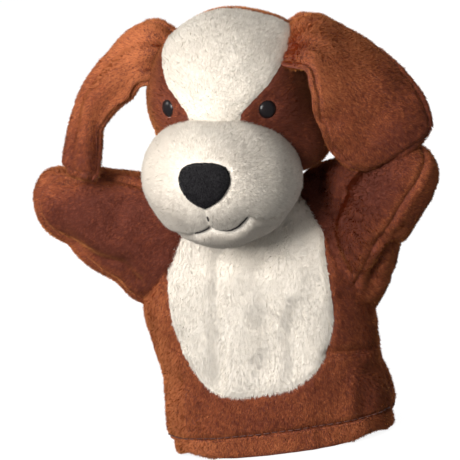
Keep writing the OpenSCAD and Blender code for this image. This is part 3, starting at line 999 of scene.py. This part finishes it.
def make_arms():
    def right_front(p):
        middle = np.interp(-p[:, 0], [50, 65, 77, 100, 119], [0, -1, -3, -8, -12])
        return middle - p[:, 1] - 11

    def right_dents(p):
        flat, front = p[:, [0, 2]], smooth((-2 - p[:, 1]) / 8)
        fold = np.array([[-100, 133], [-86, 124], [-72, 118], [-65, 106]])
        roll = fold + [-3, -7]
        return front * (1.6 * hump(to_polyline(flat, roll), 4)
                        - 2.2 * hump(to_polyline(flat, fold), 2.6)
                        - 1.3 * hump(to_polyline(flat, [[-66, 152], [-74, 134]]), 5))

    def left_front(p):
        line = np.array([c for c, _, _ in LEFT_ARM] + [LEFT_ENDS[1]], float)
        way = unit(line[-1] - line[0])
        s, knots = p @ way, line @ way
        middle = np.stack([np.interp(s, knots, line[:, k]) for k in range(3)], 1)
        return (p - middle) @ unit(TOWARDS_VIEW + LEFT_RISE) - 5

    def left_dents(p):
        flat, front = p[:, [0, 2]], smooth((-8 - p[:, 1]) / 10)
        crease = [[60, 143], [51, 127], [50, 114], [55, 98]]
        return front * (-8 * hump(to_polyline(flat, [[68, 90], [77, 100], [85, 107]]), 5.5)
                        - 1.4 * hump(to_polyline(flat, [[72, 112], [92, 122]]), 3)
                        - 2.6 * hump(to_polyline(flat, crease), 2.8))

    p, tris = ball(5)
    shoulder = [(p * radii + at, tris) for at, radii in LEFT_SHOULDER]
    make_arm("right", [limb(RIGHT_ARM, RIGHT_ENDS)], right_front, right_dents,
             ("torso", "arm_right", (-58, 0, 127), (-84, -4, 136)), (0.1, 0.085))
    make_arm("left", [limb(LEFT_ARM, LEFT_ENDS)] + shoulder, left_front, left_dents,
             ("torso", "arm_left", (54, 0, 114), (82, -14, 120)), (0.1, 0.085))


# -------- ears

EARS = {
    "left": {
        "upper": [(43, -8, 245), (55, -12, 243), (73.5, -15, 231.8), (89.5, -18, 221),
                  (104.5, -22, 205.5), (113, -26, 192), (116, -28, 180), (114, -30, 169)],
        "lower": [(41.5, -46, 222), (54, -57, 219), (56.5, -59, 210.5), (56, -56, 197),
                  (57.5, -50, 181.5), (61, -45, 168.5), (69, -40, 159.5), (87, -35, 155)],
        "depth": 10, "curl": (50, 62), "round": 0.1, "ridges": 0.0, "gathers": 0.6, "nap": 0.56},
    "right": {
        "upper": [(-23, -10, 246), (-31, -14, 250.3), (-41, -14, 248), (-52, -14, 239.7),
                  (-63.8, -16, 229.8), (-73.3, -18, 218.9), (-80.7, -21, 207.6), (-86.9, -25, 194.8),
                  (-90.6, -29, 183), (-91.7, -32, 173)],
        "lower": [(-33, -24, 227), (-38, -30, 219), (-43.5, -31, 218.5), (-49.5, -31, 213),
                  (-60, -30, 206.5), (-68.5, -30, 198.5), (-71, -31, 190), (-72.5, -32, 183),
                  (-74, -34, 175), (-76, -35, 168)],
        "depth": 9, "curl": (55, 112), "round": 0.07, "ridges": 1.5, "gathers": 1.0, "nap": 0.68},
}
RIM_SEAM = 4.4  # how far in from an ear's edge its line of stitching is


def make_ear(side, ear):
    upper, lower = np.array(ear["upper"], float), np.array(ear["lower"], float)
    for edge in (upper, lower):  # the root is sewn into the skull's seam
        edge[0] = SKULL + (SKULL_R - 2) * unit(edge[0] - SKULL)
    rows, cols = 110, 80
    s = 1 - (1 - np.linspace(0, 1, rows)) ** 1.25
    t = np.linspace(-1, 1, cols)
    top, low = along(upper, s), along(lower, s)
    middle, half = (top + low) / 2, (top - low) / 2
    rounding = np.sqrt(np.clip(1 - ((s - 1 + ear["round"]) / ear["round"]) ** 2, 0.004, 1))
    rounding[s < 1 - ear["round"]] = 1
    half = half * rounding[:, None]
    way = unit(np.gradient(middle, axis=0))
    out = unit(np.cross(way, half))
    out *= np.sign(-out[:, 1:2])
    curl = np.radians(np.interp(s, [0, 0.35], ear["curl"]))
    a = t[None] * curl[:, None]
    wide = np.sin(a) / np.sin(np.minimum(curl, math.pi / 2))[:, None]
    deep = (np.cos(a) - np.cos(curl)[:, None]) * ear["depth"] / (1 - math.cos(curl[-1]))
    deep = deep * smooth(s / 0.2)[:, None] * rounding[:, None]
    deep += ear["ridges"] * np.cos(9 * t[None] + 2 * s[:, None]) * smooth(s / 0.1)[:, None]
    deep += ear["gathers"] * np.cos(13 * t[None] + 1) * smooth((0.42 - s) / 0.4)[:, None]
    sheet = middle[:, None] + half[:, None] * wide[..., None] + out[:, None] * deep[..., None]
    width = 2 * length_of(half)[:, None] * np.maximum(1, curl)[:, None] / 1.2
    edge = np.minimum((1 - np.abs(t))[None] * width / 2,
                      length_of(middle[-1] - middle)[:, None] + 0 * t)
    sway = 0.9 * ripple(sheet, 24, 80) + 0.6 * ripple(sheet, 11, 81) * np.exp(-edge / 6)
    sheet += out[:, None] * sway[..., None]
    points = sheet.reshape(-1, 3)
    tris = grid_faces(rows, cols)
    n = normals_of(points, tris)
    if (n * np.repeat(out, cols, 0)).sum() < 0:
        tris, n = tris[:, ::-1], -n
    e = edge.reshape(-1)
    sewn = hump(e - RIM_SEAM, 1.1)
    loft = 0.35 + 1.5 * (1 - np.exp(-e / 2.5)) + 0.4 * hump(e - 1.8, 1.1) - 0.9 * sewn
    root, tip = points[:cols].mean(0), points[-cols:].mean(0)
    hold = ("head", f"ear_{side}", tuple(middle[3]), tuple(along(middle[::10], [0.42])[0]))

    # Painted light and shade: lighter tones near the root, which the light reaches, and darker ones
    # towards the tip.
    def painted_light_and_tone(points):
        far = length_of(points - root) / length_of(tip - root)
        return ear["nap"] - 0.9 * np.clip(far, 0, 1)

    for layer, sign in (("outer", 1), ("inner", -1)):
        verts = points + n * (loft * sign)[:, None]
        faces = tris if sign > 0 else tris[:, ::-1]
        piece = panel(f"ear_{side}_{layer}", (verts, faces), hold, "brown", thickness=0.9)
        pile(f"ear_{side}_{layer}_pile", (verts, faces), hold, "brown", comb=away_from(root),
             trim=1 - 0.6 * sewn, nap=painted_light_and_tone)


# -------- floor, camera and light

VIEW_AZIMUTH, VIEW_ELEVATION, VIEW_ROLL = 11, 10, 9
VIEW_DISTANCE = 4000
VIEW_AT = (-12, 123.5)  # the place in the view's middle, across and up
VIEW_WIDTH = 262  # at the puppet
FLOOR_HALF, SKY_R = 6000, 8500
LIT_PLACE = (0, 0, 0.13)  # what the lights point at, in metres
LIGHTS = {  # place, power, size and colour
    "key": ((-0.4, -1.38, 0.7), 31.8, 0.6, (1, 0.98, 0.955)),
    "side": ((-1.4, -0.3, 1.0), 8.8, 0.5, (1, 0.95, 0.89)),
    "back": ((0.5, 1.6, 0.8), 12, 1.2, (1, 0.97, 0.95)),
}


def make_camera():
    a, e, roll = (math.radians(d) for d in (VIEW_AZIMUTH, VIEW_ELEVATION, VIEW_ROLL))
    right = np.array([math.cos(a), math.sin(a), 0.0])
    up = np.array([-math.sin(a) * math.sin(e), math.cos(a) * math.sin(e), math.cos(e)])
    back = np.cross(right, up)
    at = right * VIEW_AT[0] + up * VIEW_AT[1]
    place = np.eye(4)
    place[:3, 0] = right * math.cos(roll) - up * math.sin(roll)
    place[:3, 1] = up * math.cos(roll) + right * math.sin(roll)
    place[:3, 2] = back
    place[:3, 3] = (at + back * VIEW_DISTANCE) * MM
    data = bpy.data.cameras.new("camera")
    camera = link("camera", data)
    camera.matrix_world = Matrix(place)
    data.sensor_width = 36
    data.lens = data.sensor_width * VIEW_DISTANCE / VIEW_WIDTH
    data.clip_end = 20
    bpy.context.scene.camera = camera


def make_light(name, place, power, size, colour):
    data = bpy.data.lights.new(name, "AREA")
    data.energy, data.size, data.color = power, size, colour
    light = link(name, data)
    light.location = place
    aim = Vector(LIT_PLACE) - light.location
    light.rotation_euler = aim.to_track_quat("-Z", "Y").to_euler()


def make_studio():
    white = (1, 1, 1, 1)
    x, y = FLOOR_HALF * np.array([[-1, 1, 1, -1], [-1, -1, 1, 1]])
    floor = add("floor", np.stack([x, y, np.full(4, -0.2)], 1), np.array([[0, 1, 2], [0, 2, 3]]),
                [shade("floor", 1, (0.12, 0.12, 0.12), Emission_Color=white, Emission_Strength=0.93)])
    p, tris = ball(4)
    sky = add("backdrop", p * SKY_R, tris[:, ::-1],
              [shade("backdrop", 1, (0, 0, 0), Emission_Color=white, Emission_Strength=1)])
    for pale in (floor, sky):  # seen, but not lighting the puppet
        pale.visible_diffuse = pale.visible_glossy = pale.visible_shadow = False
    for name, light in LIGHTS.items():
        make_light(name, *light)
    world = bpy.data.worlds.new("world")
    world.use_nodes = True
    tuned(world.node_tree.nodes["Background"], Color=white, Strength=0.34)
    bpy.context.scene.world = world
    bpy.context.scene.view_settings.view_transform = "Standard"


make_materials()
make_camera()
make_studio()
make_torso()
make_hem()
make_hem_stitches()
make_neck()
make_skull()
make_muzzle()
make_nose()
make_mouth()
make_eyes()
make_fill()
make_arms()
for side, ear in EARS.items():
    make_ear(side, ear)
